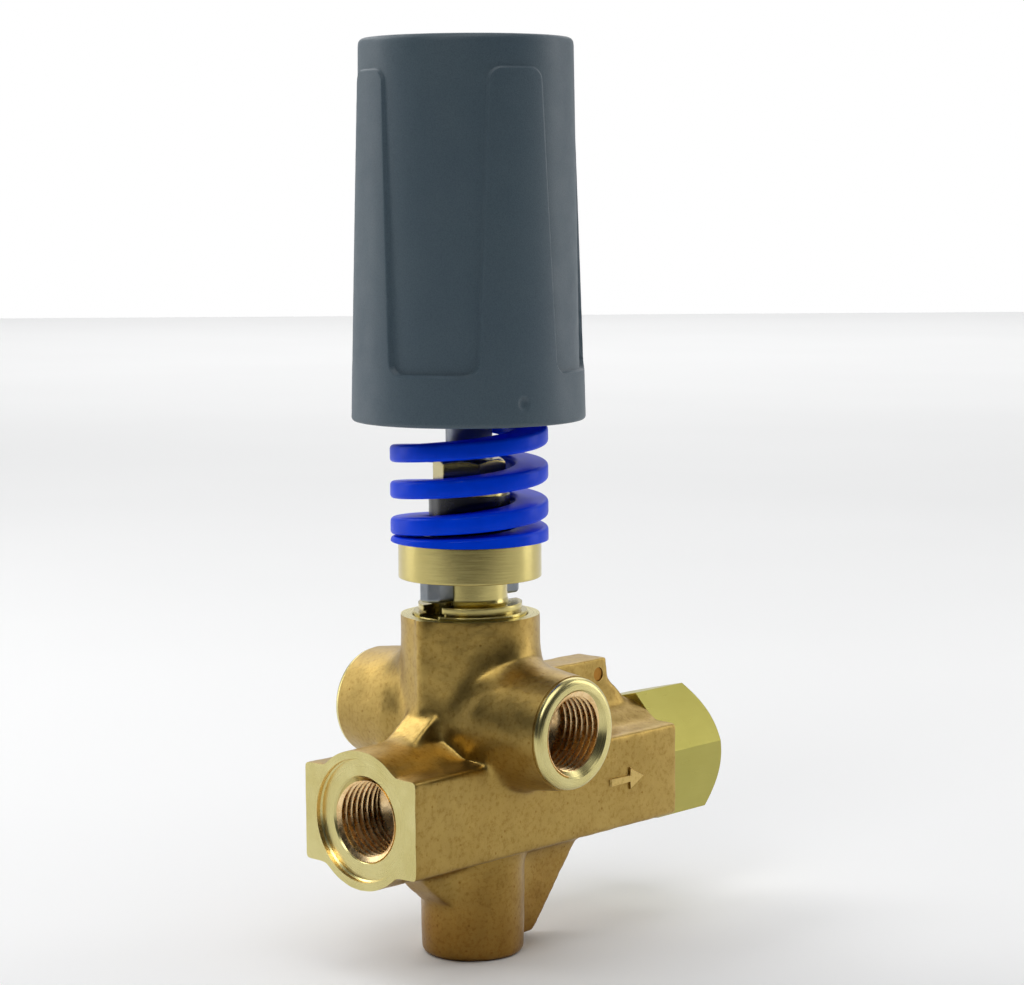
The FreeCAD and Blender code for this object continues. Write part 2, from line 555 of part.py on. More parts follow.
panels = common("panels", panel_ring, fuse("windows", above_lands, *windows))
stiffeners = [prism(f"knob_stiffener_{i}", [("hub_radius - 1", "-knob_rib_width / 2"),
                                            ("25.5", "-knob_rib_width / 2"),
                                            ("25.5", "knob_rib_width / 2"),
                                            ("hub_radius - 1", "knob_rib_width / 2")],
                    "202", "knob_top - knob_roof + 0.5", 60 * i) for i in range(6)]
keep(cut("knob_cut", fuse("knob_solid", knob_blank, *stiffeners), panels), "knob")
keep(turned("cap", [("0", "cap_floor"), ("hub_bore - 0.02", "cap_floor"),
                    ("hub_bore - 0.02", "knob_top - 0.6"), ("hub_bore - 0.6", "knob_top"),
                    ("0", "knob_top")]), "knob_cap")

# ---------------------------------------------------------------- outlet side, local Z along +X
OUTLET = (("0", "0", "bar_z"), ALONG_X)
keep(turned("check_seat_ring", [("check_seat_bore", "check_pocket"),
                                ("check_radius - 0.02", "check_pocket"),
                                ("check_radius - 0.02", "check_pocket + 2.2"),
                                ("8.7", "check_pocket + 2.2"), ("8.7", "check_pocket + 3.8"),
                                ("check_radius - 0.02", "check_pocket + 3.8"),
                                ("check_radius - 0.02", "check_face"),
                                ("check_seat_bore", "check_face")], *OUTLET), "check_seat")
keep(torus("check_seat_seal", "9.35", "0.63", ("check_pocket + 3", "0", "bar_z"), ALONG_X),
     "check_seat_o_ring")
keep(turned("poppet", [("0", "check_face"), ("seal_inner", "check_face"),
                       ("seal_inner", "check_face + seal_depth"),
                       ("seal_outer", "check_face + seal_depth"), ("seal_outer", "check_face"),
                       ("poppet_radius", "check_face"), ("poppet_radius", "poppet_back - 1"),
                       ("poppet_radius - 1", "poppet_back"), ("poppet_stem", "poppet_back"),
                       ("poppet_stem", "poppet_tip"), ("0", "poppet_tip")], *OUTLET),
     "check_poppet")
keep(turned("poppet_face", [("seal_inner", "check_face"), ("seal_outer", "check_face"),
                            ("seal_outer", "check_face + seal_depth"),
                            ("seal_inner", "check_face + seal_depth")], *OUTLET),
     "check_poppet_seal")

coil_body = doc.addObject("PartDesign::Body", "check_coil")
low = "poppet_back + check_spring_wire + 0.1"
pitch = "((spider_start - poppet_back - 2 * check_spring_wire - 0.2) / 5)"
inner, outer = ("check_spring_radius - check_spring_wire", "check_spring_radius + check_spring_wire")
cut_corner = "check_spring_wire * 0.41"
octagon = [("check_spring_radius - " + cut_corner, low + " - check_spring_wire"),
           ("check_spring_radius + " + cut_corner, low + " - check_spring_wire"),
           (outer, low + " - " + cut_corner), (outer, low + " + " + cut_corner),
           ("check_spring_radius + " + cut_corner, low + " + check_spring_wire"),
           ("check_spring_radius - " + cut_corner, low + " + check_spring_wire"),
           (inner, low + " + " + cut_corner), (inner, low + " - " + cut_corner)]
coil_section = profile_sketch(coil_body, "coil_section", octagon)
helix(coil_body, "coil", coil_section, pitch, "5")
place(coil_body, *OUTLET)
keep(coil_body, "check_spring")

spider_length = "adapter_pocket - spider_start"
rim = turned("spider_rim_ring", [("spider_rim", "spider_start"), ("spider_radius", "spider_start"),
                                 ("spider_radius", "adapter_pocket"),
                                 ("spider_rim", "adapter_pocket")], *OUTLET)
hub = turned("spider_hub_ring", [("spider_bore", "spider_start"), ("spider_hub", "spider_start"),
                                 ("spider_hub", "adapter_pocket"),
                                 ("spider_bore", "adapter_pocket")], *OUTLET)
spokes = []
for i in range(3):
    way = FreeCAD.Rotation(V(1, 0, 0), 120 * i)
    spokes.append(box(f"spoke_{i}", (spider_length, "1.8", "6"), ("spider_start", "0", "bar_z"), way))
    shift = way.multVec(V(0, -0.9, 3.4))
    spokes[-1].setExpression("Placement.Base.y", str(shift.y))
    spokes[-1].setExpression("Placement.Base.z", ex(f"bar_z + {shift.z}"))
keep(fuse("spider", rim, hub, *spokes), "check_guide")

adapter_blank = turned("adapter_blank", [
    ("adapter_pocket_radius", "adapter_start"), ("adapter_relief_radius", "adapter_start"),
    ("adapter_relief_radius", "adapter_relief_end"),
    ("adapter_shank_radius", "adapter_relief_end"), ("adapter_shank_radius", "outlet_face"),
    ("adapter_hex_radius", "outlet_face"),
    ("adapter_hex_radius", "adapter_end - adapter_hex_radius + adapter_face_radius"),
    ("adapter_face_radius", "adapter_end"), ("thread_radius + thread_chamfer", "adapter_end"),
    ("thread_radius", "adapter_end - thread_chamfer"),
    ("thread_radius", "adapter_end - thread_length"),
    ("adapter_bore", "adapter_end - thread_length"), ("adapter_bore", "adapter_pocket"),
    ("adapter_pocket_radius", "adapter_pocket")], *OUTLET)
HEX_WAY = ALONG_X.multiply(FreeCAD.Rotation(V(0, 0, 1), 90 - DIMS["adapter_turn"]))
adapter_envelope = fuse("adapter_envelope",
                        cylinder("shank_room", "adapter_shank_radius + 1",
                                 "outlet_face - adapter_start", ("adapter_start", "0", "bar_z"),
                                 ALONG_X),
                        hexagon("adapter_hexagon", "adapter_hex_radius", "adapter_end - outlet_face",
                                ("outlet_face", "0", "bar_z"), HEX_WAY))
keep(common("adapter_shaped", adapter_blank, adapter_envelope), "outlet_adapter")
keep(torus("adapter_seal", "(adapter_relief_radius + adapter_thread_radius) / 2", "adapter_ring_wire",
           ("adapter_ring_x", "0", "bar_z"), ALONG_X), "outlet_adapter_o_ring")

# ---------------------------------------------------------------- check and export
doc.recompute()
for obj in doc.Objects:
    if any(word in obj.State for word in ("Invalid", "Error")):
        raise SystemExit(f"{obj.Name}: {obj.State}")
os.makedirs("parts", exist_ok=True)
for obj in NODES:
    shape = obj.Shape
    if shape.isNull() or not shape.isValid() or not shape.Solids:
        raise SystemExit(f"{obj.Label}: bad shape")
    shape.exportStep(f"parts/{obj.Label}.step")
    print(f"{obj.Label:24s} solids {len(shape.Solids)} volume {shape.Volume / 1000:8.2f} cm3")
print(len(NODES), "nodes")
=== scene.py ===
"""Looks of the pressure-regulating valve.  Metres; +Z up the knob axis, -X inlet, +X outlet."""

from math import atan2, cos, pi, radians, sin

import bmesh
import bpy
import numpy as np
from mathutils import Matrix, Vector


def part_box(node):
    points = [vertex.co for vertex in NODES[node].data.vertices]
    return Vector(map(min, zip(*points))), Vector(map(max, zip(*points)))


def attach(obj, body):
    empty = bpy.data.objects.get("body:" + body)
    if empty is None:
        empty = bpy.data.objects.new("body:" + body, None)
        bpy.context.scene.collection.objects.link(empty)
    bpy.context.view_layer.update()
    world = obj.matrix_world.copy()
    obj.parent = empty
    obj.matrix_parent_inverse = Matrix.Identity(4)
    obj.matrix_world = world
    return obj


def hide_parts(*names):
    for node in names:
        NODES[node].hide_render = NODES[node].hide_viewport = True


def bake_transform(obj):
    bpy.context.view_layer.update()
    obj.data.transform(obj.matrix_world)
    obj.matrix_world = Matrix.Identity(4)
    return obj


MM = 0.001
TURN = 2 * pi

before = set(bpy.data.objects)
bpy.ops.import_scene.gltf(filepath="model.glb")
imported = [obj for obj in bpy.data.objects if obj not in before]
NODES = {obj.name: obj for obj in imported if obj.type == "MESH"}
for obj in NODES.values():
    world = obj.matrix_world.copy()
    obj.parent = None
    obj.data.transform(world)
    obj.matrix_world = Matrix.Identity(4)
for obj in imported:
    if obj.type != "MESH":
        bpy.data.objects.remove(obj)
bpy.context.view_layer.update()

# Main sizes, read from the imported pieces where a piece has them.
BODY_LOW, BODY_HIGH = (np.array(v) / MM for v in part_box("valve_body"))
SPRING_LOW, SPRING_HIGH = (np.array(v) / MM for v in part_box("main_spring"))
KNOB_LOW, KNOB_HIGH = (np.array(v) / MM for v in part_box("knob"))
ADAPTER_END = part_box("outlet_adapter")[1][0] / MM
INLET_X, OUTLET_X, BODY_TOP, PORT_Y = BODY_LOW[0], BODY_HIGH[0], BODY_HIGH[2], BODY_HIGH[1]
BAR_Z, PORT_Z = 40.5, 60.8
BAR_HALF_WIDTH, BAR_HALF_HEIGHT, CORE_R, BARREL_R = 19.4, 12.3, 17.5, 17.7
BOSS_ROOT_R, BOSS_FACE_R, BOSS_ROOT = 16.6, 14.0, 16
PILOT_X, PILOT_Z, PILOT_R, PILOT_RISE, RIB_HALF_WIDTH = 43.65, 66.3, 1.85, 3.2, 5.0
THREAD_R, THREAD_LEN, THREAD_CHAMFER, RECESS_R, RECESS = 10.48, 15.0, 0.5, 15.4, 1.6
THREAD_CREST_R, THREAD_PITCH = 9.35, 1.814
MOUTH_R = THREAD_R + THREAD_CHAMFER
CAST_VOXEL = 0.5
FINE = 128


# ------------------------------------------------------------------ mesh helpers (millimetres)
def new_object(name, verts, faces, smooth_angle=None):
    """A mesh object from points in millimetres."""
    mesh = bpy.data.meshes.new(name)
    mesh.from_pydata([tuple(v) for v in np.asarray(verts) * MM], [], faces)
    mesh.validate()
    obj = bpy.data.objects.new(name, mesh)
    bpy.context.collection.objects.link(obj)
    if smooth_angle is not None:
        shade(obj, smooth_angle)
    return obj


def shade(obj, angle):
    obj.data.shade_smooth()
    obj.data.set_sharp_from_angle(angle=radians(angle))


AXES = {"Z": np.eye(3), "X": np.array([[0, 0, -1], [0, 1, 0], [1, 0, 0]]),
        "Y": np.array([[1, 0, 0], [0, 0, -1], [0, 1, 0]])}


def lathe(name, profile, axis="Z", origin=(0, 0, 0), segments=96, smooth_angle=35, radius=None):
    """Solid of revolution.  A profile that starts and ends on the axis is capped, and any other
    stays an open skin.  radius(angles, height, r) may reshape each row."""
    profile = np.asarray(profile, float)
    angles = np.arange(segments) / segments * TURN
    on_axis = profile[0][0] == 0 and profile[-1][0] == 0
    rings = profile[1:-1] if on_axis else profile
    verts = []
    for row, (r, h) in enumerate(rings):
        reach = np.full(segments, r) if radius is None else radius(angles, h, r)
        verts += [(q * cos(a), q * sin(a), h) for q, a in zip(reach, angles)]
    count = len(rings)
    faces = []
    for i in range(count if not on_axis else count - 1):
        k = (i + 1) % count
        for j in range(segments):
            n = (j + 1) % segments
            faces.append((i * segments + j, i * segments + n, k * segments + n, k * segments + j))
    if on_axis:
        faces.append(tuple(reversed(range(segments))))
        faces.append(tuple((count - 1) * segments + j for j in range(segments)))
    turned = np.asarray(verts) @ AXES[axis].T + np.asarray(origin, float)
    obj = new_object(name, turned, faces, smooth_angle)
    outward(obj)
    return obj


def outward(obj):
    """Turn every face to the outside."""
    bm = bmesh.new()
    bm.from_mesh(obj.data)
    bmesh.ops.recalc_face_normals(bm, faces=bm.faces)
    bm.to_mesh(obj.data)
    bm.free()


def extrusion(name, outline, low, high, plane="XZ"):
    """Solid plate from an outline in a plane, between two offsets across it."""
    count = len(outline)
    verts = []
    for offset in (low, high):
        for u, v in outline:
            verts.append({"XZ": (u, offset, v), "XY": (u, v, offset), "YZ": (offset, u, v)}[plane])
    faces = [tuple(range(count)), tuple(reversed(range(count, 2 * count)))]
    for i in range(count):
        k = (i + 1) % count
        faces.append((i, k, count + k, count + i))
    obj = new_object(name, verts, faces)
    outward(obj)
    return obj


def join(objs, name):
    """One new object from several, which are removed."""
    bm = bmesh.new()
    for obj in objs:
        bm.from_mesh(obj.data)
    mesh = bpy.data.meshes.new(name)
    bm.to_mesh(mesh)
    bm.free()
    for obj in objs:
        bpy.data.objects.remove(obj)
    whole = bpy.data.objects.new(name, mesh)
    bpy.context.collection.objects.link(whole)
    return whole


def bake(obj):
    """Apply an object's modifiers to its mesh."""
    graph = bpy.context.evaluated_depsgraph_get()
    mesh = bpy.data.meshes.new_from_object(obj.evaluated_get(graph))
    obj.modifiers.clear()
    old, obj.data = obj.data, mesh
    bpy.data.meshes.remove(old)
    return obj


def subtract(obj, cutter):
    """Cut one closed solid out of another, and remove it."""
    tool = obj.modifiers.new("cut", "BOOLEAN")
    tool.operation = "DIFFERENCE"
    tool.object = cutter
    tool.solver = "MANIFOLD"
    bake(obj)
    bpy.data.objects.remove(cutter)


def coordinates(mesh):
    out = np.empty(len(mesh.vertices) * 3)
    mesh.vertices.foreach_get("co", out)
    return out.reshape(-1, 3)


def move_to(mesh, points):
    mesh.vertices.foreach_set("co", points.ravel())
    mesh.update()


def vertex_normals(mesh):
    out = np.empty(len(mesh.vertices) * 3)
    mesh.vertices.foreach_get("normal", out)
    return out.reshape(-1, 3)


def tube(name, rows, smooth_angle):
    """A closed tube through rows of points that all have the same count."""
    n = len(rows[0])
    faces = []
    for i in range(len(rows) - 1):
        for k in range(n):
            m = (k + 1) % n
            faces.append((i * n + k, i * n + m, (i + 1) * n + m, (i + 1) * n + k))
    faces.append(tuple(range(n)))
    faces.append(tuple((len(rows) - 1) * n + k for k in range(n)))
    obj = new_object(name, [point for row in rows for point in row], faces, smooth_angle)
    outward(obj)
    return obj


def average_of_neighbours(points, edges, degree):
    total = np.zeros_like(points)
    for k in range(3):
        total[:, k] = (np.bincount(edges[:, 0], points[edges[:, 1], k], len(points))
                       + np.bincount(edges[:, 1], points[edges[:, 0], k], len(points)))
    return total / degree[:, None]


def drop_in(obj, material, body, node=None):
    """Give a piece its material, the body it rides on, and the node it stands for."""
    if material is not None:
        obj.data.materials.clear()
        obj.data.materials.append(material)
    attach(obj, body)
    if node:
        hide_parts(node)
    return obj


# ------------------------------------------------------------------ materials
class Surface:
    """A principled surface with procedural colour, roughness and relief."""

    def __init__(self, name, color, roughness, metallic=0.0, **sockets):
        self.material = bpy.data.materials.new(name)
        self.material.use_nodes = True
        self.tree = self.material.node_tree
        self.shader = self.tree.nodes["Principled BSDF"]
        self.shader.inputs["Base Color"].default_value = (*color, 1)
        self.shader.inputs["Roughness"].default_value = roughness
        self.shader.inputs["Metallic"].default_value = metallic
        for socket, value in sockets.items():
            self.shader.inputs[socket.replace("_", " ")].default_value = value
        self.place = self.add("ShaderNodeTexCoord").outputs["Object"]
        self.normal = None

    def add(self, kind, **values):
        node = self.tree.nodes.new(kind)
        for key, value in values.items():
            if key in node.bl_rna.properties:
                setattr(node, key, value)
            else:
                node.inputs[key.replace("_", " ")].default_value = value
        return node

    def link(self, output, socket):
        self.tree.links.new(output, socket)

    def stretched(self, scale):
        mapping = self.add("ShaderNodeMapping")
        mapping.inputs["Scale"].default_value = scale
        self.link(self.place, mapping.inputs["Vector"])
        return mapping.outputs["Vector"]

    def noise(self, scale, detail=3.0, roughness=0.55, vector=None, distortion=0.0):
        node = self.add("ShaderNodeTexNoise", Scale=scale, Detail=detail, Roughness=roughness,
                        Distortion=distortion)
        self.link(vector or self.place, node.inputs["Vector"])
        return node.outputs["Fac"]

    def cells(self, scale):
        node = self.add("ShaderNodeTexVoronoi", Scale=scale)
        self.link(self.place, node.inputs["Vector"])
        return node.outputs["Distance"]

    def ramp(self, factor, stops):
        node = self.add("ShaderNodeValToRGB")
        elements = node.color_ramp.elements
        while len(elements) < len(stops):
            elements.new(0.5)
        for element, (position, color) in zip(elements, stops):
            element.position = position
            element.color = (*color, 1)
        self.link(factor, node.inputs["Fac"])
        return node.outputs["Color"]

    def grey(self, factor, low, high, start, end):
        return self.ramp(factor, [(start, (low,) * 3), (end, (high,) * 3)])

    def tint(self, factor, stops):
        """Multiply the present base colour by a ramp."""
        mix = self.add("ShaderNodeMix", data_type="RGBA", blend_type="MULTIPLY")
        mix.inputs["Factor"].default_value = 1.0
        base = self.shader.inputs["Base Color"]
        if base.links:
            self.link(base.links[0].from_socket, mix.inputs["A"])
        else:
            mix.inputs["A"].default_value = base.default_value
        self.link(self.ramp(factor, stops), mix.inputs["B"])
        self.link(mix.outputs["Result"], base)

    def rough(self, factor, low, high):
        self.link(self.grey(factor, low, high, 0.3, 0.7), self.shader.inputs["Roughness"])

    def relief(self, height, distance, strength=1.0):
        """Fine bumps over any shaping of the normal so far; distance in millimetres."""
        bump = self.add("ShaderNodeBump", Strength=strength, Distance=distance * MM)
        self.link(height, bump.inputs["Height"])
        if self.normal is not None:
            self.link(self.normal, bump.inputs["Normal"])
        self.normal = bump.outputs["Normal"]
        self.link(self.normal, self.shader.inputs["Normal"])

    def soft_edges(self, radius):
        """Round the look of the edges; radius in millimetres, and before any relief."""
        bevel = self.add("ShaderNodeBevel", samples=4, Radius=radius * MM)
        self.normal = bevel.outputs["Normal"]
        self.link(self.normal, self.shader.inputs["Normal"])


def cast_brass(name, color):
    """Sand-cast brass: grainy, lightly pitted, and browner low on the foot."""
    s = Surface(name, color, 0.36, 1.0)
    s.tint(s.noise(30, 3, 0.5), [(0.35, (0.9, 0.87, 0.8)), (0.65, (1.0, 1.0, 1.0))])
    s.tint(s.noise(900, 4, 0.65), [(0.32, (0.78, 0.72, 0.62)), (0.52, (1.0, 1.0, 1.0))])
    s.tint(s.cells(290), [(0.05, (0.72, 0.62, 0.5)), (0.13, (1.0, 1.0, 1.0))])
    s.tint(s.noise(75, 5, 0.7, distortion=0.8), [(0.24, (0.88, 0.8, 0.7)), (0.36, (1.0, 1.0, 1.0))])
    height = s.add("ShaderNodeSeparateXYZ")
    s.link(s.place, height.inputs[0])
    low = s.add("ShaderNodeMath", operation="MULTIPLY_ADD")
    s.link(s.noise(60, 4, 0.6), low.inputs[0])
    low.inputs[1].default_value = 0.03
    s.link(height.outputs["Z"], low.inputs[2])
    s.tint(low.outputs["Value"], [(0.02, (0.72, 0.58, 0.45)), (0.045, (1.0, 1.0, 1.0))])
    s.rough(s.noise(160, 4, 0.6), 0.3, 0.44)
    s.relief(s.noise(2400, 3, 0.6), 0.03)
    s.relief(s.noise(620, 4, 0.6), 0.05)
    s.relief(s.grey(s.cells(290), 0, 1, 0.03, 0.13), 0.03, 0.7)
    return s.material


def machined_brass(name, axis, edge=0.22):
    """Bright brass with the fine marks that a tool leaves going round an axis."""
    s = Surface(name, (0.6, 0.51, 0.2), 0.16, 1.0)
    s.soft_edges(edge)
    s.tint(s.noise(60, 3, 0.6), [(0.3, (0.9, 0.87, 0.8)), (0.65, (1.0, 1.0, 1.0))])
    along, across = 5200, 60
    scale = (across, across, along) if axis == "Z" else (along, across, across)
    lines = s.noise(1.0, 4, 0.7, s.stretched(scale))
    s.rough(lines, 0.1, 0.28)
    s.relief(lines, 0.006, 0.7)
    return s.material


def faced_brass(name, center, across):
    """A face turned flat: fine rings about its centre in the plane across the axis."""
    s = Surface(name, (0.7, 0.62, 0.28), 0.24, 1.0)
    shift = s.add("ShaderNodeVectorMath", operation="SUBTRACT")
    shift.inputs[1].default_value = tuple(c * MM for c in center)
    s.link(s.place, shift.inputs[0])
    flat = s.add("ShaderNodeVectorMath", operation="MULTIPLY")
    flat.inputs[1].default_value = across
    s.link(shift.outputs[0], flat.inputs[0])
    length = s.add("ShaderNodeVectorMath", operation="LENGTH")
    s.link(flat.outputs[0], length.inputs[0])
    spread = s.add("ShaderNodeCombineXYZ")
    s.link(length.outputs["Value"], spread.inputs["X"])
    lines = s.noise(4200, 3, 0.7, spread.outputs["Vector"])
    s.tint(s.noise(90, 4, 0.6), [(0.3, (0.88, 0.85, 0.74)), (0.6, (1.0, 1.0, 1.0))])
    s.rough(lines, 0.2, 0.36)
    s.relief(lines, 0.008, 0.8)
    return s.material


# Machined brass for the threads and bore walls, lighter than the turned brass: partly the bright
# colour of fresh-cut brass, partly painted light for the dim light inside the bores.
def thread_brass_painted_light():
    s = Surface("thread_brass_painted_light", (1.0, 0.74, 0.4), 0.3, 1.0)
    s.tint(s.noise(300, 3, 0.6), [(0.3, (0.82, 0.72, 0.55)), (0.65, (1.0, 1.0, 1.0))])
    s.rough(s.noise(700, 3, 0.6), 0.2, 0.36)
    s.relief(s.noise(2600, 2, 0.5), 0.01)
    return s.material


def adapter_brass():
    s = Surface("adapter_brass", (0.45, 0.4, 0.1), 0.3, 1.0)
    s.soft_edges(0.35)
    s.tint(s.noise(34, 3, 0.6), [(0.3, (0.88, 0.88, 0.78)), (0.66, (1.0, 1.0, 1.0))])
    lines = s.noise(1.0, 4, 0.7, s.stretched((120, 2600, 2600)))
    s.rough(lines, 0.26, 0.4)
    s.relief(lines, 0.006, 0.7)
    s.relief(s.noise(180, 2, 0.5), 0.02, 0.5)
    return s.material


def blue_paint():
    s = Surface("blue_paint", (0.0005, 0.06, 0.9), 0.4, 0.0,
                Coat_Weight=0.08, Coat_Roughness=0.08, Specular_IOR_Level=0.1,
                Specular_Tint=(0.15, 0.4, 1.0, 1.0))
    s.tint(s.noise(120, 3, 0.6), [(0.3, (0.82, 0.82, 0.86)), (0.65, (1.0, 1.0, 1.0))])
    s.relief(s.noise(420, 3, 0.55), 0.03, 0.7)
    return s.material


def grey_plastic():
    s = Surface("grey_plastic", (0.075, 0.115, 0.145), 0.44)
    s.tint(s.noise(26, 4, 0.6), [(0.3, (0.92, 0.93, 0.95)), (0.68, (1.04, 1.03, 1.0))])
    s.tint(s.noise(3600, 2, 0.5), [(0.34, (0.86, 0.86, 0.88)), (0.6, (1.05, 1.05, 1.05))])
    s.rough(s.noise(170, 5, 0.65), 0.42, 0.54)
    s.relief(s.noise(3000, 2, 0.6), 0.03)
    s.relief(s.noise(150, 3, 0.5), 0.02, 0.5)
    return s.material


def plated_steel(name, color, roughness):
    s = Surface(name, color, roughness, 1.0)
    s.soft_edges(0.2)
    s.tint(s.noise(220, 4, 0.6), [(0.3, (0.8, 0.82, 0.84)), (0.66, (1.0, 1.0, 1.0))])
    s.rough(s.noise(500, 3, 0.6), roughness - 0.06, roughness + 0.1)
    s.relief(s.noise(1300, 3, 0.6), 0.015)
    return s.material


def moulded(name, color, roughness):
    s = Surface(name, color, roughness)
    s.tint(s.noise(150, 3, 0.6), [(0.3, (0.8, 0.8, 0.8)), (0.7, (1.1, 1.1, 1.1))])
    s.rough(s.noise(240, 3, 0.6), roughness - 0.05, roughness + 0.08)
    s.relief(s.noise(900, 3, 0.6), 0.012)
    return s.material


SHADED = plated_steel("shaded_brass", (0.42, 0.19, 0.03), 0.4)
CAST = cast_brass("cast_brass", (0.45, 0.31, 0.09))
# The arrow's lighter copy of the cast brass is a painted highlight: the real arrow has the body's
# own colour.
CAST_PAINTED_HIGHLIGHT = cast_brass("cast_mark_painted_highlight", (0.66, 0.49, 0.18))
TURNED = machined_brass("turned_brass", "Z")
TURNED_X = machined_brass("turned_brass_x", "X")
ROUNDED = machined_brass("rounded_brass", "Z", edge=0.7)
INLET_FACED = faced_brass("inlet_faced_brass", (0, 0, BAR_Z), (0, 1, 1))
PORT_FACED = faced_brass("port_faced_brass", (0, 0, PORT_Z), (1, 0, 1))
TOP_FACED = faced_brass("top_faced_brass", (0, 0, 0), (1, 1, 0))
THREAD_PAINTED_LIGHT = thread_brass_painted_light()
ADAPTER = adapter_brass()
BLUE = blue_paint()
KNOB = grey_plastic()
ZINC = plated_steel("zinc_steel", (0.3, 0.32, 0.34), 0.38)
STAINLESS = plated_steel("stainless_steel", (0.56, 0.55, 0.53), 0.24)
POLISHED = plated_steel("polished_steel", (0.66, 0.66, 0.66), 0.12)
BLACK = moulded("black_acetal", (0.012, 0.012, 0.014), 0.22)
RUBBER = moulded("black_rubber", (0.015, 0.015, 0.015), 0.6)
PTFE = moulded("white_ptfe", (0.78, 0.78, 0.75), 0.45)

NODE_MATERIALS = {
    "pilot_plugs": SHADED, "piston_guide": ROUNDED, "guide_o_rings": RUBBER, "stem_gland": TURNED,
    "stem_o_ring": RUBBER, "bypass_seat": STAINLESS, "bypass_seat_o_ring": RUBBER,
    "bypass_ball": POLISHED, "ball_holder": STAINLESS, "piston_rod": STAINLESS,
    "piston_o_ring": RUBBER, "piston_backup_rings": PTFE, "cross_key": ZINC,
    "lower_spring_plate": TURNED, "guide_bush": BLACK, "adjusting_stud": ZINC,
    "upper_spring_plate": ZINC, "thrust_washer": STAINLESS, "knob_insert": TURNED,
    "stop_nut": ZINC, "knob_cap": KNOB, "check_seat": STAINLESS, "check_seat_o_ring": RUBBER,
    "check_poppet": TURNED_X, "check_poppet_seal": RUBBER, "check_spring": STAINLESS,
    "check_guide": TURNED_X, "outlet_adapter_o_ring": RUBBER,
}
for node, material in NODE_MATERIALS.items():
    mesh = NODES[node].data
    if not mesh.materials:
        mesh.materials.append(material)
    for index in range(len(mesh.materials)):
        mesh.materials[index] = material
NODES["outlet_adapter"].data.materials.clear()
NODES["outlet_adapter"].data.materials.append(ADAPTER)


# ------------------------------------------------------------------ cast body
def closed_box(name, low, high):
    return extrusion(name, [(low[0], low[2]), (high[0], low[2]), (high[0], high[2]),
                            (low[0], high[2])], low[1], high[1])


def cast_blank():
    """The rough casting: primitives a little past the machined faces, melted into one skin."""
    over, near = 1.0, 0.35
    parts = [
        lathe("foot", [(0, 0), (12.3, 0), (13.1, 0.8), (13.7, 40), (0, 40)]),
        lathe("barrel", [(0, 38), (BARREL_R, 38), (BARREL_R, BODY_TOP + over),
                         (0, BODY_TOP + over)]),
        closed_box("bar", (INLET_X - over, -BAR_HALF_WIDTH, BAR_Z - BAR_HALF_HEIGHT),
                   (OUTLET_X + over, BAR_HALF_WIDTH, BAR_Z + BAR_HALF_HEIGHT)),
        lathe("core", [(0, -INLET_X + over), (CORE_R, -INLET_X + over),
                       (CORE_R, -OUTLET_X - over), (0, -OUTLET_X - over)], "X", (0, 0, BAR_Z)),
        extrusion("inlet_rib", [(-26, 50.5), (-10, 50.5), (-10, 66.3), (-15.3, 65.9), (-26, 57.9)],
                  -5.2, 5.2),
        extrusion("pilot_rib", [(10, 48.5), (56.5, 48.5), (56.5, 56.8), (52.6, 60.5), (47.9, 65),
                                (47.2, 70.5), (23, 70.5), (20.8, 76.5), (10, 76.5)],
                  -RIB_HALF_WIDTH, RIB_HALF_WIDTH),
        extrusion("foot_web", [(8, 1.4), (19.4, 1.4), (37.6, 24), (37.6, 30), (8, 30)], -3.5, 3.5),
        extrusion("foot_gusset", [(-24, 24), (-18.5, 18.6), (-12, 13.5), (-6, 13.5), (-6, 30),
                                  (-24, 30)], -5, 5),
        closed_box("parting_strip", (-18.5, -1.4, 60), (-14, 1.4, BODY_TOP + over)),
    ]
    for sign in (-1, 1):
        end = PORT_Y + near
        boss = [(0, 0), (BOSS_ROOT_R, 0), (BOSS_ROOT_R, BOSS_ROOT), (BOSS_FACE_R, PORT_Y),
                (BOSS_FACE_R, end), (0, end)]
        parts.append(lathe("boss", [(r, -sign * h) for r, h in boss], "Y", (0, 0, PORT_Z)))
    blank = join(parts, "valve_casting")
    skin = blank.modifiers.new("skin", "REMESH")
    skin.mode = "VOXEL"
    skin.voxel_size = CAST_VOXEL * MM
    return bake(blank)


def large_fillets(points):
    """1 where the pattern has its big radii, over the port bosses, and 0 elsewhere."""
    x, y, z = (points / MM).T
    over_boss = (np.abs(y) > 11) & (np.abs(y) < 27) & (z > PORT_Z + 4) & (z < 84)
    return np.where(over_boss, 1.0, 0.0)


def melt(obj):
    """Fill the inner corners with cast fillets, soften the rest, and let the skin sway a little."""
    mesh = obj.data
    points = coordinates(mesh)
    edges = np.empty(len(mesh.edges) * 2, dtype=np.int64)
    mesh.edges.foreach_get("vertices", edges)
    edges = edges.reshape(-1, 2)
    degree = np.bincount(edges.ravel(), minlength=len(points)).astype(float)
    plan = [("soften", 4), ("fill", 70), ("fill_large", 260), ("soften", 7)]
    for kind, rounds in plan:
        for step in range(rounds):
            move = average_of_neighbours(points, edges, degree) - points
            if kind == "soften":
                points = points + 0.5 * move
                continue
            if step % 10 == 0:
                move_to(mesh, points)
                facing = vertex_normals(mesh)
                where = large_fillets(points) if kind == "fill_large" else 1.0
            lift = np.clip((move * facing).sum(1), 0, None) * where
            points = points + 0.7 * lift[:, None] * facing
    x, y, z = (points / MM).T
    sway = (0.05 * np.sin(0.31 * x + 0.5 * z + 1.0) * np.sin(0.37 * y - 0.22 * z)
            + 0.03 * np.sin(0.83 * x - 0.4 * y + 2.0) * np.sin(0.71 * z + 0.5 * y)
            + 0.012 * np.sin(1.9 * x + 1.3 * y) * np.sin(2.1 * z - 0.9 * x))
    move_to(mesh, points)
    move_to(mesh, points + (sway * MM)[:, None] * vertex_normals(mesh))


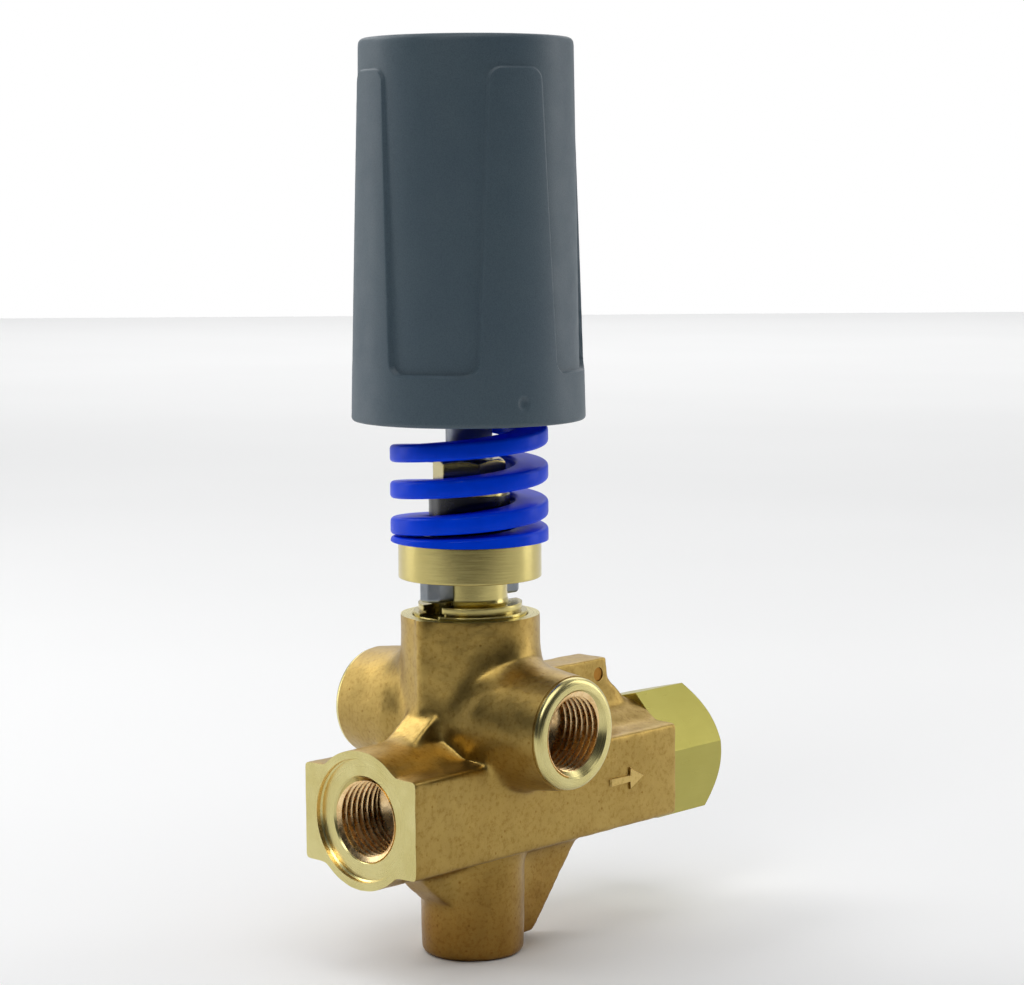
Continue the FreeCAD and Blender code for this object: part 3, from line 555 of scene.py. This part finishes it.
def machine(obj):
    """Face the ends, bore the passages and turn the lips, as the real casting is machined."""
    far = 90
    facing = [
        closed_box("cut_inlet", (INLET_X - 20, -far, -far), (INLET_X, far, far + 40)),
        closed_box("cut_outlet", (OUTLET_X, -far, -far), (OUTLET_X + 20, far, far + 40)),
        closed_box("cut_front", (-far, -PORT_Y - 20, 0), (far, -PORT_Y, far)),
        closed_box("cut_back", (-far, PORT_Y, 0), (far, PORT_Y + 20, far)),
        closed_box("cut_top", (-far, -far, BODY_TOP), (far, far, BODY_TOP + 20)),
        closed_box("cut_bottom", (-far, -far, -20), (far, far, 0.05)),
    ]
    for cutter in facing:
        subtract(obj, cutter)
    start = RECESS + THREAD_LEN
    bar_bore = [(0, -1), (RECESS_R, -1), (RECESS_R, RECESS - 0.4), (RECESS_R - 0.4, RECESS),
                (MOUTH_R, RECESS), (THREAD_R, RECESS + THREAD_CHAMFER), (THREAD_R, start),
                (7, start + 2), (7, 58.8), (10, 58.8), (10, 64.8), (11.5, 64.8), (11.5, 85.8),
                (14, 85.8), (14, OUTLET_X - INLET_X + 1), (0, OUTLET_X - INLET_X + 1)]
    subtract(obj, lathe("bar_bore", [(r, -h) for r, h in bar_bore], "X", (INLET_X, 0, BAR_Z),
                        FINE))
    upright = [(0, BAR_Z), (6.5, BAR_Z), (6.5, 48.3), (8.6, 48.3), (8.6, 52.3), (12, 52.3),
               (12, 64.9), (11, 64.9), (11, 76), (12.9, 76), (12.9, 83), (14.6, 83),
               (14.6, BODY_TOP - 0.3), (15.0, BODY_TOP + 0.1), (15.0, BODY_TOP + 1),
               (0, BODY_TOP + 1)]
    subtract(obj, lathe("upright_bore", upright, "Z", (0, 0, 0), FINE))
    lip_r = 1.7
    lip = [(BOSS_FACE_R - lip_r + lip_r * sin(radians(15 * i)),
            -lip_r + lip_r * cos(radians(15 * i))) for i in range(7)]
    for sign in (-1, 1):
        ring = lip + [(14.05, -2.2), (20, -2.2), (20, 1), (12.3, 1)]
        subtract(obj, lathe("port_lip", [(r, -sign * h) for r, h in ring], "Y",
                            (0, sign * PORT_Y, PORT_Z), FINE))
        port = [(0, 1), (MOUTH_R + 0.1, 1), (MOUTH_R + 0.1, 0), (THREAD_R, -THREAD_CHAMFER - 0.1),
                (THREAD_R, -THREAD_LEN), (6.2, -THREAD_LEN - 2.5), (6.2, -PORT_Y + 6),
                (0, -PORT_Y + 6)]
        subtract(obj, lathe("port_bore", [(r, -sign * h) for r, h in port], "Y",
                            (0, sign * PORT_Y, PORT_Z), FINE))
    subtract(obj, lathe("pilot_hole", [(0, -3.6), (PILOT_R, -3), (PILOT_R, 1), (0, 1)], "Y",
                        (PILOT_X, -RIB_HALF_WIDTH, PILOT_Z), 32))
    slope = PILOT_RISE / (PILOT_X - 11)
    end = lathe("end_hole", [(0, 4.0), (PILOT_R, 4.0), (PILOT_R, 12), (0, 12)], "X",
                (0, 0, 0), 32)
    end.data.transform(Matrix.Scale(-1, 4, (1, 0, 0)))
    end.data.flip_normals()
    end.data.transform(Matrix.Translation(Vector((PILOT_X, 0, PILOT_Z)) * MM)
                       @ Matrix.Rotation(atan2(slope, 1), 4, "Y"))
    subtract(obj, end)


def merge_slivers(obj, distance=0.05):
    """Merge the tiny edges that the cuts leave."""
    work = bmesh.new()
    work.from_mesh(obj.data)
    bmesh.ops.remove_doubles(work, verts=work.verts, dist=distance * MM)
    work.to_mesh(obj.data)
    work.free()


def paint_faces(obj, materials, choose):
    """choose(centres_mm, normals) gives an index into materials for each face."""
    mesh = obj.data
    mesh.materials.clear()
    for material in materials:
        mesh.materials.append(material)
    count = len(mesh.polygons)
    centres, normals = np.empty(count * 3), np.empty(count * 3)
    mesh.polygons.foreach_get("center", centres)
    mesh.polygons.foreach_get("normal", normals)
    index = choose(centres.reshape(-1, 3) / MM, normals.reshape(-1, 3))
    mesh.polygons.foreach_set("material_index", index.astype(np.int32))
    mesh.update()


BODY_MATERIALS = [CAST, THREAD_PAINTED_LIGHT, INLET_FACED, PORT_FACED, TOP_FACED]
AS_CAST, BORED, END_FACE, PORT_FACE, TOP_FACE = range(5)


def body_finish(centres, normals):
    """Which faces of the casting were bored or turned."""
    x, y, z = centres.T
    nx, ny, nz = normals.T
    index = np.full(len(x), AS_CAST)
    bar_r, port_r, axis_r = np.hypot(y, z - BAR_Z), np.hypot(x, z - PORT_Z), np.hypot(x, y)
    inward = (y * ny + (z - BAR_Z) * nz) < -0.2 * bar_r
    index[(bar_r < RECESS_R + 0.2) & inward & ((x < -20) | (x > 18))] = BORED
    index[(bar_r < THREAD_R + 1) & (np.abs(nx) > 0.5) & (x < -18) & (x > INLET_X + 3)] = BORED
    inward = (x * nx + (z - PORT_Z) * nz) < -0.2 * port_r
    index[(port_r < THREAD_R + 0.8) & (np.abs(y) > 14) & (inward | (np.abs(ny) > 0.9))] = BORED
    inward = (x * nx + y * ny) < -0.2 * axis_r
    index[(axis_r < 15.2) & (z > 48) & inward & (index == AS_CAST)] = BORED
    index[(np.abs(x - INLET_X) < 0.06) & (nx < -0.9)] = END_FACE
    index[(np.abs(x - INLET_X - RECESS) < 0.3) & (nx < -0.6) & (bar_r < RECESS_R)] = END_FACE
    index[(np.abs(x - OUTLET_X) < 0.06) & (nx > 0.9)] = END_FACE
    index[(np.abs(y) > PORT_Y - 2.0) & (port_r < 14.1) & (port_r > THREAD_R + 0.2)
          & (np.abs(ny) > 0.12)] = PORT_FACE
    index[(np.abs(np.abs(y) - PORT_Y) < 0.06) & (np.abs(ny) > 0.9)] = PORT_FACE
    index[(np.abs(z - BODY_TOP) < 0.4) & (nz > 0.5) & (axis_r < 19)] = TOP_FACE
    return index


casting = cast_blank()
melt(casting)
machine(casting)
merge_slivers(casting)
paint_faces(casting, BODY_MATERIALS, body_finish)
shade(casting, 38)
drop_in(casting, None, "valve", "valve_body")

# A plain raised arrow for the flow, cast on the bar, in a lighter copy of the cast brass: a painted
# highlight on its top.
ARROW = [(-6.5, -1.0), (1.5, -1.0), (1.5, -3.0), (6.8, 0), (1.5, 3.0), (1.5, 1.0), (-6.5, 1.0)]
ARROW_PLACE, ARROW_HEIGHT, ARROW_SLOPE = (38.0, BAR_Z + 0.5), 0.5, 0.35


def raised_mark(name, outline, place, face_y):
    """A low solid with sloping sides, standing on a face that looks toward -Y."""
    middle = np.mean(outline, axis=0)
    rows = []
    for inset, out in [(0.0, -0.8), (0.0, 0.0), (ARROW_SLOPE, ARROW_HEIGHT)]:
        row = []
        for corner in outline:
            d = np.array(corner) - middle
            u, v = middle + d * (1 - inset / max(np.hypot(*d), 1))
            row.append((place[0] + u, face_y - out, place[1] + v))
        rows.append(row)
    return tube(name, rows, None)


skin = coordinates(casting.data) / MM
on_arrow = ((np.abs(skin[:, 0] - ARROW_PLACE[0]) < 7) & (np.abs(skin[:, 2] - ARROW_PLACE[1]) < 4)
            & (skin[:, 1] < -18) & (skin[:, 1] > -21))
arrow = raised_mark("flow_arrow", ARROW, ARROW_PLACE, skin[on_arrow, 1].mean())
drop_in(arrow, CAST_PAINTED_HIGHLIGHT, "valve", None)


# ------------------------------------------------------------------ threads
def thread(name, axis, origin, length):
    """A helical ridge inside a bore, thinning out at both ends."""
    steps, root = 72, THREAD_R
    section = [(root + 0.15, -0.47), (root - 0.02, -0.44), (THREAD_CREST_R, -0.09),
               (THREAD_CREST_R, 0.09), (root - 0.02, 0.44), (root + 0.15, 0.47)]
    count = int(length / THREAD_PITCH * steps)
    rows = []
    for i in range(count + 1):
        angle = TURN * i / steps
        fade = min(1.0, i / (steps * 0.4) + 0.05, (count - i) / (steps * 0.4) + 0.05)
        row = []
        for r, h in section:
            depth = r if r > root else root - (root - r) * fade
            row.append((depth * cos(angle), depth * sin(angle),
                        THREAD_PITCH * (i / steps + h * (0.35 + 0.65 * fade))))
        rows.append(np.asarray(row) @ AXES[axis].T + np.asarray(origin, float))
    return drop_in(tube(name, rows, 40), THREAD_PAINTED_LIGHT, "valve", None)


def mouth(name, axis, origin, sign, material):
    """The conical lead-in turned at the mouth of a thread."""
    rows = [(MOUTH_R + 0.12, -0.02), (MOUTH_R - 1.5, -1.5), (THREAD_R + 0.25, -2.1)]
    obj = lathe(name, [(r, h * sign) for r, h in rows], axis, origin, FINE, 30)
    return drop_in(obj, material, "valve", None)


thread("inlet_thread", "X", (INLET_X + THREAD_LEN + RECESS - 0.5, 0, BAR_Z), 14.4)
mouth("inlet_mouth", "X", (INLET_X + RECESS, 0, BAR_Z), 1, TURNED_X)
mouth("outlet_mouth", "X", (ADAPTER_END, 0, BAR_Z), -1, TURNED_X)
mouth("front_mouth", "Y", (0, -PORT_Y, PORT_Z), 1, PORT_FACED)
mouth("back_mouth", "Y", (0, PORT_Y, PORT_Z), -1, PORT_FACED)
thread("front_port_thread", "Y", (0, -PORT_Y + THREAD_LEN - 0.6, PORT_Z), 14.0)
thread("back_port_thread", "Y", (0, PORT_Y - 0.5, PORT_Z), 14.0)
thread("outlet_thread", "X", (ADAPTER_END - 0.6, 0, BAR_Z), 14.0)


# ------------------------------------------------------------------ main spring
WIRE_WIDTH, WIRE_HEIGHT, WIRE_CORNER, COIL_R = 8.5, 4.5, 1.05, 15.75
COIL_PITCH, END_PITCH, COIL_START, COIL_TURNS = 9.157, 4.72, 105.25, 7.5
MIDDLE = 38


def rounded_rectangle(width, height, radius, steps=4):
    points = []
    for cx, cz, start in ((1, 1, 0), (-1, 1, 90), (-1, -1, 180), (1, -1, 270)):
        for i in range(steps + 1):
            a = radians(start + 90 * i / steps)
            points.append((cx * (width / 2 - radius) + radius * cos(a),
                           cz * (height / 2 - radius) + radius * sin(a)))
    return points


def coil_height(turn):
    """Height of the wire's middle: a closed turn at each end, and an even pitch between."""
    if turn < 1:
        return COIL_START + END_PITCH * turn
    if turn < 1 + COIL_TURNS:
        return COIL_START + END_PITCH + COIL_PITCH * (turn - 1)
    return COIL_START + END_PITCH * (turn - COIL_TURNS) + COIL_PITCH * COIL_TURNS


def coil(name, first, last, steps=96):
    """The spring between two turns, ground flat at its ends."""
    low, high = SPRING_LOW[2], SPRING_HIGH[2]
    section = rounded_rectangle(WIRE_WIDTH, WIRE_HEIGHT, WIRE_CORNER)
    rows = []
    for i in range(int(round((last - first) * steps)) + 1):
        turn = first + i / steps
        angle = radians(132) + TURN * turn
        rows.append([((COIL_R + u) * cos(angle), (COIL_R + u) * sin(angle),
                      min(max(coil_height(turn) + v, low), high)) for u, v in section])
    return tube(name, rows, 42)


MIDDLE_TURN = 1 + (SPRING_LOW[2] + MIDDLE - COIL_START - END_PITCH) / COIL_PITCH
lower_coils = coil("main_spring_lower", 0, MIDDLE_TURN + 0.01)
upper_coils = coil("main_spring_upper", MIDDLE_TURN, 2 + COIL_TURNS)
for piece in (lower_coils, upper_coils):
    piece.data.materials.append(BLUE)
    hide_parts("main_spring")
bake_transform(lower_coils)
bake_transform(upper_coils)

# The check spring, as a copy of its piece that stands in for it.
check_coils = bpy.data.objects.new("check_coils", NODES["check_spring"].data.copy())
bpy.context.collection.objects.link(check_coils)
check_coils.matrix_world = NODES["check_spring"].matrix_world.copy()
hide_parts("check_spring")
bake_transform(check_coils)

# ------------------------------------------------------------------ knob
KNOB_BOTTOM, KNOB_TOP = KNOB_LOW[2], KNOB_HIGH[2]
LAND_TOP, PANEL_FOOT, PANEL_CORNER, PANEL_ANGLE = 223.5, 149.4, 3.0, radians(25.6)
LAND_LOW_R, LAND_TOP_R, PANEL_LOW_R, PANEL_TOP_R = 29.5, 27.25, 27.9, 26.8
PANEL_LOW_HALF, PANEL_TOP_HALF, PANEL_EDGE = 10.8, 13.9, 0.55
DIMPLE_ANGLE, DIMPLE_Z, DIMPLE_R, DIMPLE_DEPTH = radians(-108.8), 142.6, 1.6, 0.55


def land_radius(h):
    """The cone of the raised lands and of the plain band under them."""
    return LAND_LOW_R + (LAND_TOP_R - LAND_LOW_R) * (h - KNOB_BOTTOM) / (KNOB_TOP - KNOB_BOTTOM)


def rounded_corner(a, b):
    """Signed distance to a corner with a radius, from the distances past its two sides."""
    return np.hypot(np.clip(a, 0, None), max(b, 0)) + np.minimum(np.maximum(a, b), 0) - PANEL_CORNER


def knob_radius(angles, h, r):
    """Skin radius all round at one height: sunk panels between raised lands, and a plain band."""
    if r < 26.2:
        return np.full(len(angles), r)
    raised = land_radius(h)
    up = h - PANEL_FOOT
    sunk = PANEL_LOW_R + (PANEL_TOP_R - PANEL_LOW_R) * up / (KNOB_TOP - 1.4 - PANEL_FOOT)
    near = (angles - PANEL_ANGLE + pi / 4) % (pi / 2) - pi / 4
    off = np.abs(28.0 * np.sin(near))
    half = PANEL_LOW_HALF + (PANEL_TOP_HALF - PANEL_LOW_HALF) * up / (LAND_TOP - PANEL_FOOT)
    if h > 186:
        land = -rounded_corner(PANEL_CORNER - (off - half), PANEL_CORNER - (LAND_TOP - h))
    else:
        land = rounded_corner(off - (half - PANEL_CORNER), (PANEL_FOOT + PANEL_CORNER) - h)
    share = np.clip(0.5 + land / PANEL_EDGE, 0, 1)
    skin = sunk + (raised - sunk) * share * share * (3 - 2 * share)
    if h < PANEL_FOOT - 2:
        skin = np.full(len(angles), raised)
    away = np.hypot(29.2 * np.sin(angles - DIMPLE_ANGLE), h - DIMPLE_Z) / DIMPLE_R
    dimple = DIMPLE_DEPTH * np.clip(1 - away ** 2, 0, None) ** 0.5
    skin = skin - np.where(np.cos(angles - DIMPLE_ANGLE) > 0, dimple, 0)
    if h > KNOB_TOP - 3:
        skin = np.minimum(skin, sunk)
        return np.where(skin > r, r, skin) if r < 26.75 else skin
    return skin - max(0.0, raised - r)


def knob_rows():
    """Outside of the shell from its lower rim to its crown, and back down the inside."""
    rows = [(27.1, KNOB_BOTTOM), (28.6, KNOB_BOTTOM), (28.98, KNOB_BOTTOM + 0.1),
            (29.3, KNOB_BOTTOM + 0.35)]
    heights = list(np.arange(KNOB_BOTTOM + 0.8, PANEL_FOOT - 2, 0.45))
    heights += list(np.arange(PANEL_FOOT - 1.4, PANEL_FOOT + 4.5, 0.2))
    heights += list(np.arange(PANEL_FOOT + 5.5, LAND_TOP - 5, 2.0))
    heights += list(np.arange(LAND_TOP - 4.2, LAND_TOP + 1.6, 0.2))
    heights += [LAND_TOP + 3, KNOB_TOP - 2.0]
    rows += [(land_radius(h), h) for h in heights]
    rim = 1.5
    for i in range(1, 7):
        a = radians(15 * i)
        rows.append((26.76 - rim * (1 - cos(a)), KNOB_TOP - rim + rim * sin(a)))
    roof = KNOB_TOP - 4.0
    rows += [(11.2, KNOB_TOP), (11.2, 203.3), (11.9, 203.3), (11.9, 193.3), (14.6, 193.3),
             (14.6, roof), (24.45, roof)]
    return rows


knob = lathe("knob_shell", knob_rows(), "Z", (0, 0, 0), 640, 50, knob_radius)
ribs = []
for k in range(6):
    rib = extrusion("knob_rib", [(14.0, 202), (24.9, 202), (24.9, KNOB_TOP - 3.5),
                                 (14.0, KNOB_TOP - 3.5)], -0.9, 0.9)
    rib.data.transform(Matrix.Rotation(radians(60 * k), 4, "Z"))
    ribs.append(rib)
knob_ribs = join(ribs, "knob_stiffeners")
drop_in(knob, KNOB, "knob", "knob")
drop_in(knob_ribs, KNOB, "knob", None)

# ------------------------------------------------------------------ stage, light and camera
AHEAD = Vector((0.73, 0.68, 0.0))
ACROSS = Vector((0.68, -0.73, 0.0))
floor_mesh = bpy.data.meshes.new("floor")
corners = ((-0.62, -4), (-0.62, 4), (3.5, 4), (3.5, -4))
floor_mesh.from_pydata([tuple(AHEAD * n + ACROSS * m) for n, m in corners], [], [(0, 1, 2, 3)])
floor = bpy.data.objects.new("floor", floor_mesh)
bpy.context.collection.objects.link(floor)
floor_look = Surface("floor", (0.94, 0.94, 0.94), 0.75)
floor_look.tint(floor_look.noise(3, 2, 0.5), [(0.3, (0.98, 0.98, 0.98)), (0.7, (1.0, 1.0, 1.0))])
floor.data.materials.append(floor_look.material)

# A studio tent: white ahead of the camera, dim behind it, with a softbox on each side and a
# plain white backdrop.
world = bpy.data.worlds.new("studio")
world.use_nodes = True
sky = world.node_tree
around = sky.nodes.new("ShaderNodeTexCoord")
toward = sky.nodes.new("ShaderNodeVectorMath")
toward.operation = "DOT_PRODUCT"
toward.inputs[1].default_value = AHEAD / 2
sky.links.new(around.outputs["Generated"], toward.inputs[0])
middle = sky.nodes.new("ShaderNodeMath")
middle.inputs[1].default_value = 0.5
sky.links.new(toward.outputs["Value"], middle.inputs[0])
tent = sky.nodes.new("ShaderNodeValToRGB")
dim, white = tent.color_ramp.elements
dim.position, dim.color = 0.15, (0.015, 0.0155, 0.0165, 1)
white.position, white.color = 0.9, (0.66, 0.665, 0.67, 1)
tent.color_ramp.elements.new(0.55).color = (0.09, 0.092, 0.095, 1)
sky.links.new(middle.outputs["Value"], tent.inputs["Fac"])
backdrop = sky.nodes.new("ShaderNodeMix")
backdrop.data_type = "RGBA"
seen = sky.nodes.new("ShaderNodeLightPath")
sky.links.new(seen.outputs["Is Camera Ray"], backdrop.inputs["Factor"])
sky.links.new(tent.outputs["Color"], backdrop.inputs["A"])
backdrop.inputs["B"].default_value = (1.0, 1.0, 1.0, 1)
sky.links.new(backdrop.outputs["Result"], sky.nodes["Background"].inputs["Color"])
bpy.context.scene.world = world
bpy.context.scene.view_settings.view_transform = "Standard"


def softbox(name, place, aim, size, power):
    light = bpy.data.lights.new(name, "AREA")
    light.shape = "RECTANGLE"
    light.size, light.size_y = size
    light.energy = power
    obj = bpy.data.objects.new(name, light)
    obj.location = place
    obj.rotation_euler = (Vector(aim) - Vector(place)).to_track_quat("-Z", "Y").to_euler()
    bpy.context.collection.objects.link(obj)


softbox("left", (-0.41, 0.93, 0.42), (0, 0, 0.12), (0.45, 1.0), 2.4)
softbox("right", (0.87, -0.50, 0.40), (0, 0, 0.12), (0.4, 1.0), 2.9)
softbox("upper", (-0.16, 0.72, 0.86), (0, 0, 0.06), (0.5, 0.4), 2.4)
softbox("front", (-0.85, -0.3, 0.95), (0, 0, 0.06), (0.35, 0.35), 2.0)
softbox("behind", AHEAD * 2.6 + Vector((0, 0, 1.5)), AHEAD * 2.4, (3.4, 2.4), 26)
overhead = bpy.data.lights.new("overhead", "SUN")
overhead.energy = 1.0
overhead.angle = radians(50)
lamp = bpy.data.objects.new("overhead", overhead)
lamp.rotation_euler = (radians(14), radians(-10), 0)
bpy.context.collection.objects.link(lamp)


def turned_camera(azimuth, elevation, roll, distance, aim_right, aim_up, focal, centre):
    """A camera round a centre, in degrees and millimetres, aimed a little to one side of it."""
    az, el, ro = radians(azimuth), radians(elevation), radians(roll)
    back = Vector((sin(az) * cos(el), -cos(az) * cos(el), sin(el)))
    right = Vector((cos(az), sin(az), 0))
    up = back.cross(right)
    right, up = cos(ro) * right + sin(ro) * up, cos(ro) * up - sin(ro) * right
    target = Vector(centre) + right * aim_right + up * aim_up
    data = bpy.data.cameras.new("camera")
    data.sensor_width = 36
    data.lens = focal
    data.clip_start, data.clip_end = 0.01, 20
    obj = bpy.data.objects.new("camera", data)
    rows = Matrix((right, up, back)).transposed().to_4x4()
    obj.matrix_world = Matrix.Translation((target + back * distance) * MM) @ rows
    bpy.context.collection.objects.link(obj)
    bpy.context.scene.camera = obj


turned_camera(azimuth=-47.12, elevation=6.355, roll=-0.363, distance=699.0, aim_right=10.61,
              aim_up=27.5, focal=96.81, centre=(0, 0, 90.5))
